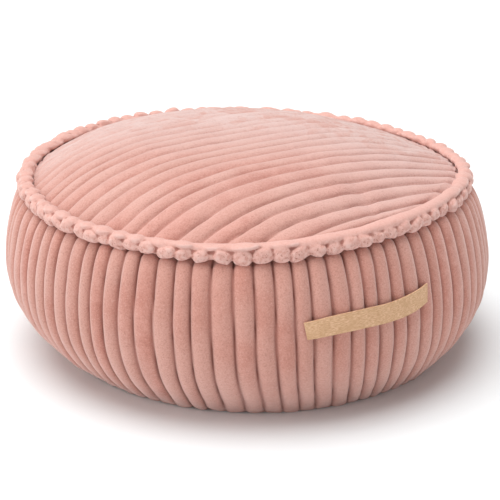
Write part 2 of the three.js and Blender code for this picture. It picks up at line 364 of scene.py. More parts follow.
def open_edges(piece):
    uses = {}
    for face in piece.data.polygons:
        for key in face.edge_keys:
            uses[key] = uses.get(key, 0) + 1
    return sum(count != 2 for count in uses.values())


print("cover:", len(cover.data.polygons), "faces,", open_edges(cover), "edges open")

# %% [markdown]
# ## Filling the cover
# A filled pouf is held in shape by its stuffing, which presses the cloth outwards between the seams.
# Blender's Cloth with a little pressure does the same. The cover starts a little slack, the seam and
# the edge of the foot are pinned, gravity is off, and no point may move further than a small cap, so
# the pouf keeps its size.

# %% Fill the cover
SIDE_SLACK, TOP_SLACK = 0.0008, 0.0025
FILL_PRESSURE = 4
FILL_FRAMES = 20
FILL_CAP = 0.003
BASE_LEVEL = 0.0005
TINY = 1e-9
SEWN_FROM, SEWN_TO, SEWN_HEIGHT = 0.2575, 0.2755, 0.190

start = read_points(cover)
radius = np.hypot(start[:, 0], start[:, 1])
at_base = start[:, 2] < BASE_LEVEL
at_seam = (start[:, 2] > SEWN_HEIGHT) & (radius > SEWN_FROM) & (radius < SEWN_TO)
held = at_base | at_seam
slack = (SIDE_SLACK * read_values(cover, "side") + TOP_SLACK * read_values(cover, "top")) * ~held
start = start - read_points(cover, "normal") * slack[:, None]
write_points(cover, start)
sewn = cover.vertex_groups.new(name="sewn")
sewn.add(np.flatnonzero(held).tolist(), 1.0, "REPLACE")
filling = cover.modifiers.new("filling", "CLOTH")
filling.settings.vertex_group_mass = "sewn"
filling.settings.use_pressure = True
filling.settings.uniform_pressure_force = FILL_PRESSURE
filling.settings.effector_weights.gravity = 0
filling.point_cache.frame_end = FILL_FRAMES
for step in range(1, FILL_FRAMES + 1):
    bpy.context.scene.frame_set(step)
apply_modifier(cover, filling)
bpy.context.scene.frame_set(1)
moved = read_points(cover) - start
distance = np.linalg.norm(moved, axis=1)
moved *= np.minimum(1, FILL_CAP / np.maximum(distance, TINY))[:, None]
write_points(cover, start + moved)
cover.vertex_groups.clear()
print("filled: points moved", round(float(distance.mean() * 1000), 2), "mm on average,",
      round(float(distance.max() * 1000), 2), "mm at most before the cap")

# %% [markdown]
# ## Where the tape handle is sewn on
# The handle is a flat tape across the side, and its two sewn ends pull the plush in. So its route is
# settled before the wales are pressed: turn, height and width at six places along it, joined by a
# smooth curve.

# %% Route of the tape
TAPE_TURNS = [-77.7, -71.9, -64.4, -58.3, -53.0, -47.1]
TAPE_HEIGHTS = [0.1248, 0.1287, 0.1307, 0.1311, 0.1334, 0.1383]
TAPE_WIDTHS = [0.0190, 0.0204, 0.0206, 0.0203, 0.0206, 0.0185]
TAPE_LENGTH = 0.161
SEWN_PULL = 0.0022
SEWN_HALF_WIDE, SEWN_HALF_TALL = 0.011, 0.013


def along_route(values, u):
    """Catmull-Rom curve through the values, with u from 0 to 1."""
    knots = np.array([2 * values[0] - values[1], *values, 2 * values[-1] - values[-2]])
    place = np.clip(u, 0, 1) * (len(values) - 1)
    first = np.minimum(place.astype(int), len(values) - 2)
    t = place - first
    a, b, c, d = (knots[first + k] for k in range(4))
    square = 2 * a - 5 * b + 4 * c - d
    cube = 3 * b - a - 3 * c + d
    return 0.5 * (2 * b + (c - a) * t + square * t**2 + cube * t**3)


def sewn_pull(angle, height):
    """How far the plush is pulled in round the two sewn ends."""
    pull = np.zeros(len(angle))
    for end in (0, -1):
        aside = BELLY_RADIUS * (angle - math.radians(TAPE_TURNS[end])) / SEWN_HALF_WIDE
        above = (height - TAPE_HEIGHTS[end]) / SEWN_HALF_TALL
        pull += SEWN_PULL * np.exp(-(aside**2) - above**2)
    return pull


print("tape from", TAPE_TURNS[0], "to", TAPE_TURNS[-1], "degrees")

# %% [markdown]
# ## Pressing in the wales
# The wales are plump tubes with narrow, sharp grooves between them. One subdivision gives twelve
# lines to each wale, and the base is sewn in as a flat fan, so that the padded piece is closed. Then
# every point is pressed in along its normal, by nothing on a crest and by several millimetres in a
# groove. Each wale gets its own fullness and the grooves wander slightly, because a strip of real
# corduroy is never ruled. They fade towards the foot, and at the back of the top the pile is crushed.

# %% Subdivide the cover and sew in the base
BASE_RINGS = [(0.985, 0.0006), (0.97, 0.0012), (0.55, 0.0)]  # shrink and rise, from the edge inwards

subdivision = cover.modifiers.new("subdivision", "SUBSURF")
subdivision.levels = 1
subdivision.render_levels = 1
apply_modifier(cover, subdivision)
bpy.ops.object.mode_set(mode="EDIT")
bpy.ops.mesh.select_mode(type="EDGE")
bpy.ops.mesh.select_all(action="DESELECT")
bpy.ops.mesh.select_non_manifold(extend=False, use_boundary=True, use_wire=False)
for shrink, rise in BASE_RINGS:
    bpy.ops.mesh.extrude_region_move(TRANSFORM_OT_translate={"value": (0, 0, rise)})
    bpy.ops.transform.resize(value=(shrink, shrink, 1))
bpy.ops.mesh.edge_face_add()
bpy.ops.mesh.select_mode(type="FACE")
bpy.ops.mesh.poke()
bpy.ops.mesh.select_all(action="SELECT")
bpy.ops.mesh.normals_make_consistent(inside=False)
bpy.ops.object.mode_set(mode="OBJECT")
print("cover with its base:", len(cover.data.polygons), "faces,", open_edges(cover), "edges open")

# %% Number the wales at every point
WALE_ROUNDNESS, WALE_FULLNESS = 2.15, 0.55
WANDER, WANDER_SIZE = 0.09, 0.05
TOP_WALES = 40
NOISE_STEP = 7.3  # from one wale to the next, so that each has its own run of noise

points = read_points(cover)
normals = read_points(cover, "normal")
side = read_values(cover, "side")
top = read_values(cover, "top")


def plump(wale):
    """0 in a groove and 1 on the crest of a wale."""
    edge = np.abs(2 * (wale % 1) - 1)
    return (1 - edge**WALE_ROUNDNESS) ** WALE_FULLNESS


def smooth_step(values, low, high):
    t = np.clip((values - low) / (high - low), 0, 1)
    return t * t * (3 - 2 * t)


def wale_noise(number, along, size, seed):
    """Noise that runs along each wale and differs from wale to wale."""
    spots = zip(NOISE_STEP * number, along / size)
    return np.array([noise.noise(Vector((n, a, seed))) for n, a in spots])


wander = WANDER * smooth_noise(points, WANDER_SIZE, 3.0)
angle = np.arctan2(points[:, 1], points[:, 0])
along = points[:, 0] * cosine + points[:, 1] * sine
across = points[:, 1] * cosine - points[:, 0] * sine
wale_on_side = side_wale(angle, points[:, 2]) + wander
wale_on_top = top_wale(across) + wander
on_top = top > 0.5
number = np.where(on_top, np.floor(wale_on_top) + TOP_WALES / 2, np.floor(wale_on_side) % SIDE_WALES)
number = number.astype(int)
run = np.where(on_top, along, points[:, 2])
crest = np.where(on_top, plump(wale_on_top), plump(wale_on_side))
print("wales numbered at", len(points), "points")

# %% Where the pile is brushed, crushed and worn, and where bounce light is painted at the foot
RANDOM_SEED = 7
FULLNESS_SPREAD = 0.13
BRUSHED_LENGTH, FOOT_BOUNCE_LIGHT, FOOT_BOUNCE_BELOW = 0.055, 0.35, 0.11
CRUSHED_ALONG, CRUSHED_ACROSS = 0.03, 0.018
CRUSHED_FINE, CRUSHED_FINE_SIZE = 0.8, 0.4

random = np.random.default_rng(RANDOM_SEED)
fullness = 1 - FULLNESS_SPREAD * random.random(SIDE_WALES)[number]
tint = random.normal(0, 1, SIDE_WALES)[number]
brushed_and_bounce = wale_noise(number, run, BRUSHED_LENGTH, 1.0)
# Painted bounce light: the side band is made paler towards the foot, as if lit from the floor. It
# shares the brushed-pile tone.
brushed_and_bounce += FOOT_BOUNCE_LIGHT * (1 - smooth_step(points[:, 2], 0.02, FOOT_BOUNCE_BELOW)) * side

stretched = np.column_stack([along / CRUSHED_ALONG, across / CRUSHED_ACROSS, np.full(len(points), 9.0)])
patches = smooth_noise(stretched, 1.0) + CRUSHED_FINE * smooth_noise(stretched, CRUSHED_FINE_SIZE, 5.0)
back = smooth_step(points[:, 1] - 0.2 * points[:, 0], -0.03, 0.1)
rightward = smooth_step(points[:, 0], 0.0, 0.2)
crushed = smooth_step(patches, -0.05, 0.45) * (back * top)
print("crushed share of the top:", round(float(crushed.sum() / top.sum()), 3))

# %% Press the grooves
SIDE_DEPTH, TOP_DEPTH = 0.0085, 0.0058
BACK_SHALLOWER, CRUSHED_SHALLOWER, RIGHT_DEEPER = 0.3, 0.55, 0.2
SWELL, SWELL_LENGTH = 0.0008, 0.035
PUCKER, PUCKER_SIZE = 0.0014, 0.011
FOOT_FADE, FOOT_FADE_HEIGHT = 0.72, 0.022
FOOT_LIFT, FOOT_LIFT_LEFT = 0.0006, 0.0010
BAND_LIFT, BAND_LIFT_LEFT = 0.0012, 0.0030
BAND_LIFT_FROM, BAND_LIFT_TO = 0.15, 0.19


def leftward(cosine_of_turn):
    """0 at the front and the right, and 1 well round to the left."""
    return smooth_step(-cosine_of_turn, 0.15, 0.45)


swell = SWELL * wale_noise(number, run, SWELL_LENGTH, 5.0)
at_foot = (1 - smooth_step(points[:, 2], 0.0, FOOT_FADE_HEIGHT)) * side
pucker = PUCKER * smooth_noise(points, PUCKER_SIZE, 2.0) * at_foot
top_depth = TOP_DEPTH * (1 - BACK_SHALLOWER * back)
top_depth *= (1 - CRUSHED_SHALLOWER * crushed) * (1 + RIGHT_DEEPER * rightward)
depth = SIDE_DEPTH * (1 - FOOT_FADE * at_foot) * side + top_depth * top
press = depth * (1 - crest * fullness) + sewn_pull(angle, points[:, 2]) * side
lift = (FOOT_LIFT - FOOT_LIFT_LEFT * np.cos(angle)) * at_foot
under_welt = smooth_step(points[:, 2], BAND_LIFT_FROM, BAND_LIFT_TO) * side
lift += (BAND_LIFT + BAND_LIFT_LEFT * leftward(np.cos(angle))) * under_welt
points = points - normals * (press - swell * crest - pucker)[:, None]
points[:, 2] = np.maximum(points[:, 2] + lift, 0)
points = settle(points)
write_points(cover, points)
use_only(cover)
bpy.ops.object.shade_smooth()
print("cover:", triangles(cover), "triangles, top at", round(points[:, 2].max(), 4))

# %% Keep what the finish needs
TOP_SHADE, BACK_PALER, CRUSHED_PALER = 0.7, 0.4, 0.7
SHEEN_AT_FRONT, SHEEN_TO_RIGHT = 0.25, 0.2

# The groove value is painted shade down in the grooves. It is weaker on the top, and weaker still at
# the back and where the pile is crushed.
top_shade = TOP_SHADE * top * (1 - BACK_PALER * back) * (1 - CRUSHED_PALER * crushed)
# Painted sheen: the top is made paler towards the back and to the right. The blotches also lie where
# this is high.
back_sheen = SHEEN_AT_FRONT + (1 - SHEEN_AT_FRONT) * smooth_step(points[:, 1], -0.14, 0.16)
back_sheen += SHEEN_TO_RIGHT * rightward
for name, values in (
    ("groove_shade", (1 - crest) * (side + top_shade)),
    ("back_sheen", np.minimum(back_sheen, 1) * top),
    ("tint", tint),
    ("brushed_and_bounce", brushed_and_bounce),
    ("crushed", crushed),
):
    write_values(cover, name, values)
print("attributes:", [layer.name for layer in cover.data.attributes if layer.data_type == "FLOAT"])

# %% [markdown]
# ## The welt: upper lip
# The two panels meet in a turned-out seam, a frilled double lip round the rim. The upper lip is the
# edge of the top panel: where its wales meet the rim they end in short flaps that lap like shingles,
# and where they run along the rim it is a smooth roll. A torus gives the roll. It is thinner where
# the flaps will lie on it, and also where there are none, so that it doesn't hide the beads below.

# %% Upper lip
WELT_RADIUS, WELT_HEIGHT = 0.2682, 0.2045
LIP_OUT, LIP_UP, LIP_THICK = -0.0026, 0.0054, 0.0066
LIP_WIDE, LIP_FLAT = 1.35, 0.88
LIP_FULL, LIP_CROSSED = 1.04, 0.38  # share of the thickness, and what crossing wales take off it
LIP_UNEVEN, LIP_UNEVEN_SIZE = 0.12, 0.035
LIP_SWAY, LIP_SWAY_SIZE = 0.0014, 0.04
LIP_SWAY_UP = np.array([0, 0, 0.5])
BARE_TURN = TOP_WALE_TURN + math.pi / 2  # at the back left no flaps lie on the lip
BARE_THINNING = 0.4
RING_STEPS, ROLL_STEPS = 256, 14

bpy.ops.object.select_all(action="DESELECT")
bpy.ops.mesh.primitive_torus_add(
    major_segments=RING_STEPS,
    minor_segments=ROLL_STEPS,
    major_radius=WELT_RADIUS + LIP_OUT,
    minor_radius=LIP_THICK,
    location=(0, 0, WELT_HEIGHT + LIP_UP),
)
welt = start_piece("beaded_welt")
bpy.ops.object.transform_apply(location=True, rotation=False, scale=False)
finer = welt.modifiers.new("finer", "SUBSURF")
finer.levels = 2
finer.render_levels = 2
apply_modifier(welt, finer)
points = read_points(welt)
angle = np.arctan2(points[:, 1], points[:, 0])
ring = np.column_stack([np.cos(angle), np.sin(angle), np.zeros(len(angle))])
middle = ring * (WELT_RADIUS + LIP_OUT) + np.array([0, 0, WELT_HEIGHT + LIP_UP])
crossing = np.abs(np.cos(angle - TOP_WALE_TURN))
thick = LIP_FULL - LIP_CROSSED * crossing + LIP_UNEVEN * smooth_noise(middle, LIP_UNEVEN_SIZE, 4.0)
thick *= 1 - BARE_THINNING * np.clip(np.cos(angle - BARE_TURN), 0, 1) ** 2
sway = LIP_SWAY * smooth_noise(middle, LIP_SWAY_SIZE, 6.0)
section = points - middle
section[:, :2] *= LIP_WIDE
section[:, 2] *= LIP_FLAT
points = middle + section * thick[:, None] + (ring + LIP_SWAY_UP) * sway[:, None]
write_points(welt, points)
print("upper lip:", len(points), "points")

# %% [markdown]
# ## The welt: flaps
# One flap is modelled from a sphere, with one end drawn thin and the other swollen. A copy goes to
# each end of each top wale that meets the rim at an angle. It is as long as the wale is wide there,
# and it leans so that its thick end lies over the thin end of the next.

# %% One flap
FLAP_OUT, FLAP_UP = -0.0016, 0.0066
FLAP_HALF_WIDE, FLAP_HALF_TALL = 0.0082, 0.0048
THICK_END, THIN_END = (1, 1.12, 1.12), (1, 0.85, 0.8)
END_FROM = 0.2
BALL_STEPS, BALL_RINGS = 24, 14


def select_where(piece, test):
    for vertex in piece.data.vertices:
        vertex.select = test(vertex.co)
    for part in (*piece.data.edges, *piece.data.polygons):
        part.select = all(piece.data.vertices[v].select for v in part.vertices)


bpy.ops.object.select_all(action="DESELECT")
bpy.ops.mesh.primitive_uv_sphere_add(segments=BALL_STEPS, ring_count=BALL_RINGS, radius=1)
flap = start_piece("flap")
for towards, stretch in ((-1, THICK_END), (1, THIN_END)):
    select_where(flap, lambda co: towards * co.x > END_FROM)
    bpy.ops.object.mode_set(mode="EDIT")
    bpy.ops.transform.resize(value=stretch)
    bpy.ops.object.mode_set(mode="OBJECT")
print("flap:", len(flap.data.polygons), "faces")

# %% Flaps round the rim
FLAP_REACH = 0.6
FLAP_LONGEST = 0.06
FLAP_EVEN_LENGTH = 0.026
FLAP_TILT = np.array([0.0, 0.07, -0.16])
FLAP_SIZE_VARIES, FLAP_TILT_VARIES, FLAP_PLACE_VARIES = 0.1, 0.06, 0.0006
FRONT_SPREAD = math.radians(20)
FRONT_FLATTER = 0.3
VARY_LIMIT = 1.6


def copy_to_rim(piece, turn, out, up, half, tilt):
    copy = piece.copy()
    copy.data = piece.data.copy()
    bpy.context.scene.collection.objects.link(copy)
    place = Vector((out * math.cos(turn), out * math.sin(turn), WELT_HEIGHT + up))
    facing = Matrix.Rotation(turn - math.pi / 2, 4, "Z") @ Euler(tilt).to_matrix().to_4x4()
    copy.matrix_world = Matrix.Translation(place) @ facing @ Matrix.Diagonal((*half, 1))
    copy.select_set(True)


def vary(amount, count):
    return amount * random.normal(size=count).clip(-VARY_LIMIT, VARY_LIMIT)


def near_front(turn):
    return math.exp(-(((turn - FRONT) / FRONT_SPREAD) ** 2))


use_only(welt)
edges = top_across(np.arange(-TOP_WALES // 2, TOP_WALES // 2 + 1).astype(float))
edges = np.arcsin(edges[np.abs(edges) < SEAM_RADIUS] / SEAM_RADIUS)
flap_count = 0
for first, second in zip(edges, edges[1:]):
    length = WELT_RADIUS * (second - first)
    if length > FLAP_LONGEST:
        continue
    for turn in ((first + second) / 2, math.pi - (first + second) / 2):
        size = 1 + vary(FLAP_SIZE_VARIES, 3)
        tall = FLAP_HALF_TALL * (1 - FRONT_FLATTER * near_front(turn + TOP_WALE_TURN - TURN))
        half = np.array([FLAP_REACH * length, FLAP_HALF_WIDE, tall]) * size
        tilt = (FLAP_TILT + vary(FLAP_TILT_VARIES, 3)) * min(1, FLAP_EVEN_LENGTH / length)
        shift = vary(FLAP_PLACE_VARIES, 2)
        out = WELT_RADIUS + FLAP_OUT + shift[0]
        copy_to_rim(flap, turn + TOP_WALE_TURN, out, FLAP_UP + shift[1], half, tilt)
        flap_count += 1
bpy.ops.object.join()
bpy.data.objects.remove(flap)
print("welt:", flap_count, "flaps on the roll")

# %% [markdown]
# ## The welt: beads
# The lower lip is the edge of the side band. Each of its wales ends in one plump bead of turned-out
# pile. One bead is modelled from a sphere: its lower half is swollen and Cast squares it a little.
# Then it is copied round the rim, and every copy is turned and sized slightly differently. They are
# larger at the front, and a thin torus between them closes the gaps.

# %% One bead
BEAD_BELLY, BEAD_SQUARED = (1.04, 1.08, 1.0), 0.22

bpy.ops.object.select_all(action="DESELECT")
bpy.ops.mesh.primitive_uv_sphere_add(segments=BALL_STEPS, ring_count=BALL_RINGS, radius=1)
bead = start_piece("bead")
select_where(bead, lambda co: co.z < -END_FROM)
bpy.ops.object.mode_set(mode="EDIT")
bpy.ops.transform.resize(value=BEAD_BELLY)
bpy.ops.object.mode_set(mode="OBJECT")
squared = bead.modifiers.new("squared", "CAST")
squared.cast_type = "CUBOID"
squared.factor = BEAD_SQUARED
apply_modifier(bead, squared)
print("bead:", len(bead.data.polygons), "faces")

# %% Beads round the rim
BEAD_HALF = np.array([0.0114, 0.0088, 0.0074])
FRONT_SWELL = np.array([0.0012, 0.0008, 0.0032])
BEAD_OUT, BEAD_UP = 0.0012, -0.0022
BEAD_UP_LEFT, BEAD_UP_BARE = 0.0022, 0.005
BEAD_SIZE_VARIES, BEAD_TILT_VARIES, BEAD_PLACE_VARIES = 0.07, 0.25, 0.0008
CORE_THICK, CORE_UP = 0.0052, -0.0014

bpy.ops.object.select_all(action="DESELECT")
bpy.ops.mesh.primitive_torus_add(
    major_segments=RING_STEPS,
    minor_segments=ROLL_STEPS,
    major_radius=WELT_RADIUS,
    minor_radius=CORE_THICK,
    location=(0, 0, WELT_HEIGHT + CORE_UP),
)
core = start_piece("bead_core")
use_only(welt)
core.select_set(True)
for wale in range(SIDE_WALES):
    turn = float(side_angle(wale + 0.5, WELT_HEIGHT))
    half = (BEAD_HALF + FRONT_SWELL * near_front(turn)) * (1 + vary(BEAD_SIZE_VARIES, 3))
    tilt = vary(BEAD_TILT_VARIES, 3)
    shift = vary(BEAD_PLACE_VARIES, 2)
    bare = max(math.cos(turn - BARE_TURN), 0) ** 2
    up = BEAD_UP + BEAD_UP_LEFT * leftward(math.cos(turn)) + BEAD_UP_BARE * bare + shift[1]
    copy_to_rim(bead, turn, WELT_RADIUS + BEAD_OUT + shift[0], up, half, tilt)
bpy.ops.object.join()
bpy.data.objects.remove(bead)
print("welt:", len(welt.data.polygons), "faces in", SIDE_WALES, "beads and the lip")

# %% [markdown]
# ## The welt: one bubbly skin
# Lip and beads are fused by a voxel remesh, which also rounds the creases between them. A short
# smoothing takes out the voxel steps. The turned-out pile is curly, so the skin is then moved by a
# fine noise, in fractions of a millimetre, which makes the knobbly surface that the beads have.

# %% Fuse and roughen the welt
VOXEL = 0.00128
CURL_DEPTH, CURL_SIZE, CURL_ON_LIP = 0.00035, 0.0034, 0.15
LUMP_DEPTH, LUMP_SIZE, LUMP_ON_LIP = 0.0008, 0.011, 0.5
BEADS_TO, LIP_FROM = WELT_HEIGHT - 0.001, WELT_HEIGHT + 0.008


def hollow(piece, passes=3):
    """How hollow the skin is at each point: above 0 in a crease and below 0 on a ridge."""
    ends = np.empty(len(piece.data.edges) * 2, dtype=np.int32)
    piece.data.edges.foreach_get("vertices", ends)
    first, second = ends.reshape(-1, 2).T
    count = np.bincount(ends, minlength=len(piece.data.vertices))[:, None]

    def near(values):
        total = np.zeros_like(values)
        np.add.at(total, first, values[second])
        np.add.at(total, second, values[first])
        return total / count

    spots = read_points(piece)
    level = near(spots) - spots
    bend = np.sum(level * read_points(piece, "normal"), axis=1)[:, None] / VOXEL
    for _ in range(passes):
        bend = near(bend)
    return bend[:, 0]


remesh = welt.modifiers.new("fuse", "REMESH")
remesh.mode = "VOXEL"
remesh.voxel_size = VOXEL
apply_modifier(welt, remesh)
soften = welt.modifiers.new("soften", "SMOOTH")
soften.factor = 0.5
soften.iterations = 1
apply_modifier(welt, soften)
points = read_points(welt)
normals = read_points(welt, "normal")
curl = smooth_noise(points, CURL_SIZE, 2.0)
lump = smooth_noise(points, LUMP_SIZE, 8.0)
lower = 1 - smooth_step(points[:, 2], BEADS_TO, LIP_FROM)
curl *= CURL_ON_LIP + (1 - CURL_ON_LIP) * lower
lump *= LUMP_ON_LIP + (1 - LUMP_ON_LIP) * lower
raised = CURL_DEPTH * curl + LUMP_DEPTH * lump
write_points(welt, settle(points + normals * raised[:, None]))
write_values(welt, "curl", curl)
crease = hollow(welt)
write_values(welt, "crease", crease)
print("creases:", np.percentile(crease, [2, 10, 50, 90, 98]).round(3))
write_values(welt, "lower", lower)
use_only(welt)
bpy.ops.object.shade_smooth()
print("welt:", triangles(welt), "triangles,", open_edges(welt), "edges open")

# %% [markdown]
# ## The tape handle
# A flat cotton tape is sewn to the side band at both ends and lies across eight wales. Webbing is
# modelled directly: a grid is laid on the side in the tape's own route, Solidify gives it thickness
# and a small Bevel rounds its edges. It follows the crests, so it bridges the grooves.

# %% Tape handle
TAPE_THICKNESS = 0.0018
TAPE_GAP = 0.0003
TAPE_EDGE = 0.0004
TAPE_COLUMNS, TAPE_ROWS = 96, 14
TAPE_FOLLOWS = 0.8  # share of the pulled-in plush that the tape goes along with
LEAN_LEFT, LEAN_RIGHT = -0.66, 0.56  # slant of the cut ends, in degrees over the width


def shoulder_radius(height):
    share = (height - BELLY_HEIGHT) / (SHOULDER_HEIGHT - BELLY_HEIGHT)
    return SHOULDER_RADIUS + (BELLY_RADIUS - SHOULDER_RADIUS) * np.sqrt(1 - share**2)


bpy.ops.object.select_all(action="DESELECT")
bpy.ops.mesh.primitive_grid_add(x_subdivisions=TAPE_COLUMNS, y_subdivisions=TAPE_ROWS, size=1)
tape = start_piece("tape_handle")
flat = read_points(tape)
u, v = flat[:, 0] + 0.5, flat[:, 1]
middle = along_route(TAPE_HEIGHTS, u)
height = middle + along_route(TAPE_WIDTHS, u) * v
turn = np.radians(along_route(TAPE_TURNS, u) + (LEAN_LEFT + (LEAN_RIGHT - LEAN_LEFT) * u) * v)
out = shoulder_radius(height) + TAPE_GAP - TAPE_FOLLOWS * sewn_pull(turn, middle)
write_points(tape, np.column_stack([out * np.cos(turn), out * np.sin(turn), height]))
uv_layer = tape.data.uv_layers[0].data
for loop in tape.data.loops:
    point = loop.vertex_index
    uv_layer[loop.index].uv = (u[point] * TAPE_LENGTH, v[point] * max(TAPE_WIDTHS))
thickness = tape.modifiers.new("thickness", "SOLIDIFY")
thickness.thickness = TAPE_THICKNESS
thickness.offset = 1
apply_modifier(tape, thickness)
rounded = tape.modifiers.new("rounded", "BEVEL")
rounded.width = TAPE_EDGE
rounded.segments = 2
rounded.limit_method = "ANGLE"
apply_modifier(tape, rounded)
write_points(tape, settle(read_points(tape)))
use_only(tape)
bpy.ops.object.shade_smooth_by_angle(angle=math.radians(40))
print("tape:", triangles(tape), "triangles,", open_edges(tape), "edges open")

# %% [markdown]
# ## Finishes
# Each finish is a small node tree on the Principled shader. It could be wired by hand in the shader
# editor. A few helpers that add a node and link it keep every finish down to a list of its tones.

# %% Node helpers


def new_finish(name):
    finish = bpy.data.materials.new(name)
    finish.use_nodes = True
    tree = finish.node_tree
    return finish, tree, tree.nodes["Principled BSDF"]


def add_node(tree, kind, **settings):
    node = tree.nodes.new(kind)
    for key, value in settings.items():
        setattr(node, key, value)
    return node


def set_inputs(node, **values):
    for key, value in values.items():
        node.inputs[key.replace("_", " ")].default_value = value


def noise_on(tree, coordinates, scale, detail=2.0, rough=0.5, distortion=0.0):
    texture = add_node(tree, "ShaderNodeTexNoise")
    set_inputs(texture, Scale=scale, Detail=detail, Roughness=rough, Distortion=distortion)
    tree.links.new(coordinates, texture.inputs["Vector"])
    return texture.outputs["Fac"]


def remap(tree, value, low, high, to_low=0.0, to_high=1.0):
    node = add_node(tree, "ShaderNodeMapRange", interpolation_type="SMOOTHSTEP")
    tree.links.new(value, node.inputs["Value"])
    node.inputs["From Min"].default_value = low
    node.inputs["From Max"].default_value = high
    node.inputs["To Min"].default_value = to_low
    node.inputs["To Max"].default_value = to_high
    return node.outputs["Result"]


def mix_colour(tree, factor, first, second, blend="MIX"):
    node = add_node(tree, "ShaderNodeMix", data_type="RGBA", blend_type=blend)
    for socket, value in ((node.inputs[0], factor), (node.inputs[6], first), (node.inputs[7], second)):
        if isinstance(value, bpy.types.NodeSocket):
            tree.links.new(value, socket)
        else:
            socket.default_value = value
    return node.outputs[2]


def srgb(red, green, blue):
    def linear(value):
        value /= 255
        return value / 12.92 if value <= 0.04045 else ((value + 0.055) / 1.055) ** 2.4

    return (linear(red), linear(green), linear(blue), 1.0)


def bump_on(tree, height, distance, strength=1.0, below=None):
    node = add_node(tree, "ShaderNodeBump")
    set_inputs(node, Distance=distance, Strength=strength)
    tree.links.new(height, node.inputs["Height"])
    if below is not None:
        tree.links.new(below, node.inputs["Normal"])
    return node.outputs["Normal"]


print("node helpers ready")

# %% [markdown]
# ## The plush
# Plush corduroy is matt, with a soft sheen where light grazes the pile. Painted shade makes it darker
# and warmer down in the grooves. It is mottled where the pile has been brushed, and painted bounce
# light makes the side paler near the foot. On the top a painted sheen makes it paler towards the back,
# and the pile there is crushed into pale blotches. The cover's own attributes say where, so the tones
# follow the wales.

# %% Plush corduroy
DEEP_PINK, WARM_PINK = srgb(192, 125, 109), srgb(206, 144, 129)
WALE_PINK, BRUSHED_AND_BOUNCE_PINK = srgb(198, 141, 126), srgb(206, 152, 138)
SHEEN_PINK, WORN_PINK, PATCH_PINK = srgb(213, 188, 183), srgb(214, 186, 180), srgb(196, 138, 124)
FIBRE_TIP, FIBRE_ROOT = srgb(214, 166, 154), srgb(160, 100, 86)
GROOVE_SHADE_BROWN = srgb(132, 70, 56)

plush, tree, shader = new_finish("plush_corduroy")
place = add_node(tree, "ShaderNodeTexCoord").outputs["Object"]
groove_shade, wale_tint, nap_and_bounce, worn, back_sheen = (
    add_node(tree, "ShaderNodeAttribute", attribute_name=name).outputs["Fac"]
    for name in ("groove_shade", "tint", "brushed_and_bounce", "crushed", "back_sheen")
)
mottle = noise_on(tree, place, 30, 4, 0.6, 0.6)
fibre = noise_on(tree, place, 560, 3, 0.75)
blotch = noise_on(tree, place, 24, 3, 0.62, 1.4)
tone = mix_colour(tree, remap(tree, mottle, 0.36, 0.66), DEEP_PINK, WARM_PINK)
tone = mix_colour(tree, remap(tree, wale_tint, -2.0, 2.0), tone, WALE_PINK)
# Brushed-pile mottling, plus painted bounce light that makes the side paler near the foot.
tone = mix_colour(tree, remap(tree, nap_and_bounce, -0.35, 0.55, 0.0, 0.8), tone, BRUSHED_AND_BOUNCE_PINK)
# Painted sheen that makes the top paler towards the back.
tone = mix_colour(tree, remap(tree, back_sheen, 0.0, 1.0, 0.0, 0.72), tone, SHEEN_PINK)
tone = mix_colour(tree, remap(tree, worn, 0.1, 1.0, 0.0, 0.6), tone, WORN_PINK)
patch = mix_colour(tree, remap(tree, blotch, 0.47, 0.6, 0.0, 0.7), tone, PATCH_PINK)
tone = mix_colour(tree, remap(tree, back_sheen, 0.45, 1.0), tone, patch)
tone = mix_colour(tree, remap(tree, fibre, 0.5, 0.72, 0.0, 0.65), tone, FIBRE_TIP)
tone = mix_colour(tree, remap(tree, fibre, 0.5, 0.3, 0.0, 0.5), tone, FIBRE_ROOT)
# Painted shade: darker and browner down in the grooves.
tone = mix_colour(tree, remap(tree, groove_shade, 0.22, 0.9, 0.0, 0.88), tone, GROOVE_SHADE_BROWN)
tree.links.new(tone, shader.inputs["Base Color"])
set_inputs(shader, Roughness=0.92, Specular_IOR_Level=0.15)
set_inputs(shader, Sheen_Weight=0.55, Sheen_Roughness=0.6, Sheen_Tint=srgb(255, 244, 241))
pile = bump_on(tree, fibre, 0.0008, 0.5)
pile = bump_on(tree, noise_on(tree, place, 170, 2, 0.6), 0.0016, 0.4, pile)
tree.links.new(pile, shader.inputs["Normal"])
cover.data.materials.clear()
cover.data.materials.append(plush)
print("finish:", plush.name)

# %% [markdown]
# ## The turned-out pile
# Along the seam the cloth's cut edge shows its pile: curly and pitted on the beads, with a painted
# highlight on the ridges and painted shade in the creases. The mesh already knows its creases,
# because they were measured on it.

# %% Turned-out pile of the welt
CURL_LOW, CURL_HIGH = srgb(206, 149, 137), srgb(222, 174, 163)
PALE_FIBRE, PIT_BROWN = srgb(224, 184, 174), srgb(158, 98, 86)
RIDGE_HIGHLIGHT_PINK, CREASE_SHADE_BROWN = srgb(228, 192, 184), srgb(154, 92, 79)

curly, tree, shader = new_finish("curly_pile")
place = add_node(tree, "ShaderNodeTexCoord").outputs["Object"]
curl_height, on_bead, crease = (
    add_node(tree, "ShaderNodeAttribute", attribute_name=name).outputs["Fac"]
    for name in ("curl", "lower", "crease")
)
fine = noise_on(tree, place, 560, 3, 0.65)
speck = noise_on(tree, place, 430, 2, 0.6)
tone = mix_colour(tree, remap(tree, curl_height, -0.4, 0.4), CURL_LOW, CURL_HIGH)
tone = mix_colour(tree, remap(tree, fine, 0.3, 0.75, 0.0, 0.6), tone, PALE_FIBRE)
pits = mix_colour(tree, remap(tree, speck, 0.56, 0.7, 0.0, 0.75), tone, PIT_BROWN)
tone = mix_colour(tree, on_bead, tone, pits)
